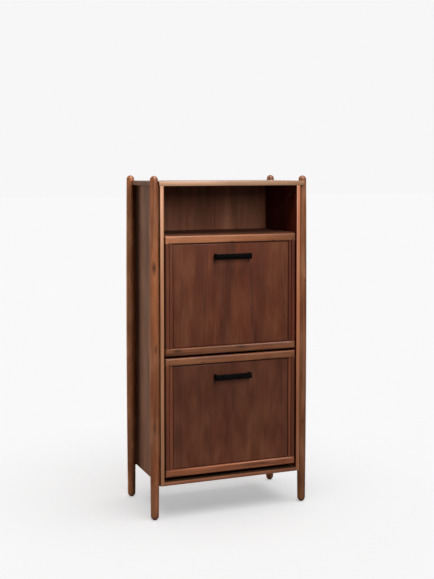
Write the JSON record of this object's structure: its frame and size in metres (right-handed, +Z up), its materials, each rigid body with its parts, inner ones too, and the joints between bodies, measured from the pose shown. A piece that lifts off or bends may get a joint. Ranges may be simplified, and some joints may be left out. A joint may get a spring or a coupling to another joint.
{
  "type": "shoe cabinet",
  "caption": "Tall narrow shoe cabinet on turned posts, with an open cubby above tilt-out doors that carry sloping shoe shelves.",
  "frame": {"origin": "on the floor, below the centre of the overall box, handles included", "axes": "+Z up, -Y towards the front with the doors and handles, +X to the right as seen from the front"},
  "size_m": [0.601, 0.3386, 1.2],
  "materials": {
    "solid_wood": "satin lacquer on warm brown solid wood",
    "veneer_board": "semi-gloss lacquer on dark brown veneer",
    "inner_board": "matt sealed brown board",
    "black_metal": "matt black powder coat",
    "zinc_steel": "zinc plated",
    "dark_plastic": "moulded nylon"
  },
  "bodies": {
    "case": {"post_front_left": "solid_wood", "post_front_right": "solid_wood", "post_rear_left": "solid_wood", "post_rear_right": "solid_wood", "glide_front_left": "dark_plastic", "glide_front_right": "dark_plastic", "glide_rear_left": "dark_plastic", "glide_rear_right": "dark_plastic", "side_panel_left": "veneer_board", "side_panel_right": "veneer_board", "top_panel": "veneer_board", "bottom_panel": "veneer_board", "cubby_shelf": "veneer_board", "back_panel": "veneer_board", "wall_bracket": "zinc_steel", "cam_lock_left_front": "zinc_steel", "cam_lock_left_rear": "zinc_steel", "cam_lock_right_front": "zinc_steel", "cam_lock_right_rear": "zinc_steel", "post_bolt_front_left_lower": "dark_plastic", "post_bolt_front_left_upper": "dark_plastic", "post_bolt_front_right_lower": "dark_plastic", "post_bolt_front_right_upper": "dark_plastic", "post_bolt_rear_left_lower": "dark_plastic", "post_bolt_rear_left_upper": "dark_plastic", "post_bolt_rear_right_lower": "dark_plastic", "post_bolt_rear_right_upper": "dark_plastic", "upper_hinge_plate_left": "zinc_steel", "upper_hinge_plate_right": "zinc_steel", "lower_hinge_plate_left": "zinc_steel", "lower_hinge_plate_right": "zinc_steel"},
    "upper_door": {"upper_stile_left": "solid_wood", "upper_stile_right": "solid_wood", "upper_top_rail": "solid_wood", "upper_bottom_rail": "solid_wood", "upper_door_panel": "veneer_board", "upper_handle": "black_metal", "upper_handle_screw_left": "zinc_steel", "upper_handle_screw_right": "zinc_steel", "upper_bracket_left": "black_metal", "upper_bracket_right": "black_metal", "upper_low_shelf": "inner_board", "upper_low_shelf_lip": "inner_board", "upper_high_shelf": "inner_board", "upper_high_shelf_lip": "inner_board"},
    "lower_door": {"lower_stile_left": "solid_wood", "lower_stile_right": "solid_wood", "lower_top_rail": "solid_wood", "lower_bottom_rail": "solid_wood", "lower_door_panel": "veneer_board", "lower_handle": "black_metal", "lower_handle_screw_left": "zinc_steel", "lower_handle_screw_right": "zinc_steel", "lower_bracket_left": "black_metal", "lower_bracket_right": "black_metal", "lower_low_shelf": "inner_board", "lower_low_shelf_lip": "inner_board", "lower_high_shelf": "inner_board", "lower_high_shelf_lip": "inner_board"}
  },
  "joints": [
    {"name": "upper_door_tilt", "type": "hinge", "parent": "case", "child": "upper_door", "pos_m": [0, -0.12, 0.6232], "axis": [1, 0, 0], "range_deg": [0, 50]},
    {"name": "lower_door_tilt", "type": "hinge", "parent": "case", "child": "lower_door", "pos_m": [0, -0.12, 0.197], "axis": [1, 0, 0], "range_deg": [0, 50]}
  ]
}
